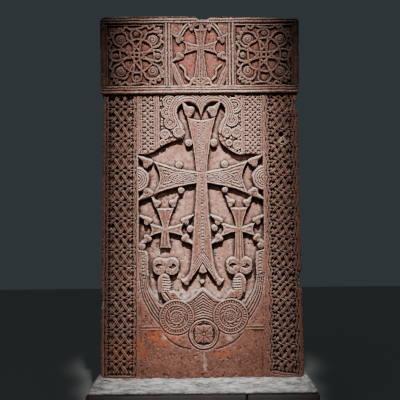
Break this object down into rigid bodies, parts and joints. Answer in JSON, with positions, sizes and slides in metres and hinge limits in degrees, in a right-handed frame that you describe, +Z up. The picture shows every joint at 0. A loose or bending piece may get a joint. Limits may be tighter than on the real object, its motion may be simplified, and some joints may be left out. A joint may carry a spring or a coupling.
{
  "type": "carved stone stele",
  "caption": "Upright carved cross-stone of red tuff with a cornice, knotwork borders and three crosses in a deep niche, bedded in mortar on a low plinth.",
  "frame": {"origin": "centre of the plinth's underside, on the ground", "axes": "+Z up the stele, -Y out of the carved face, +X to the right as one looks at the carving"},
  "size_m": [1.28, 0.42, 2.2303],
  "materials": {
    "red_tuff": "carved and weathered, matt",
    "lime_mortar": "trowelled, matt",
    "plinth_stone": "split and soiled, matt"
  },
  "bodies": {
    "root": {"stele": "red_tuff", "mortar_bed": "lime_mortar", "plinth_block_left": "plinth_stone", "plinth_block_right": "plinth_stone"}
  },
  "joints": []
}
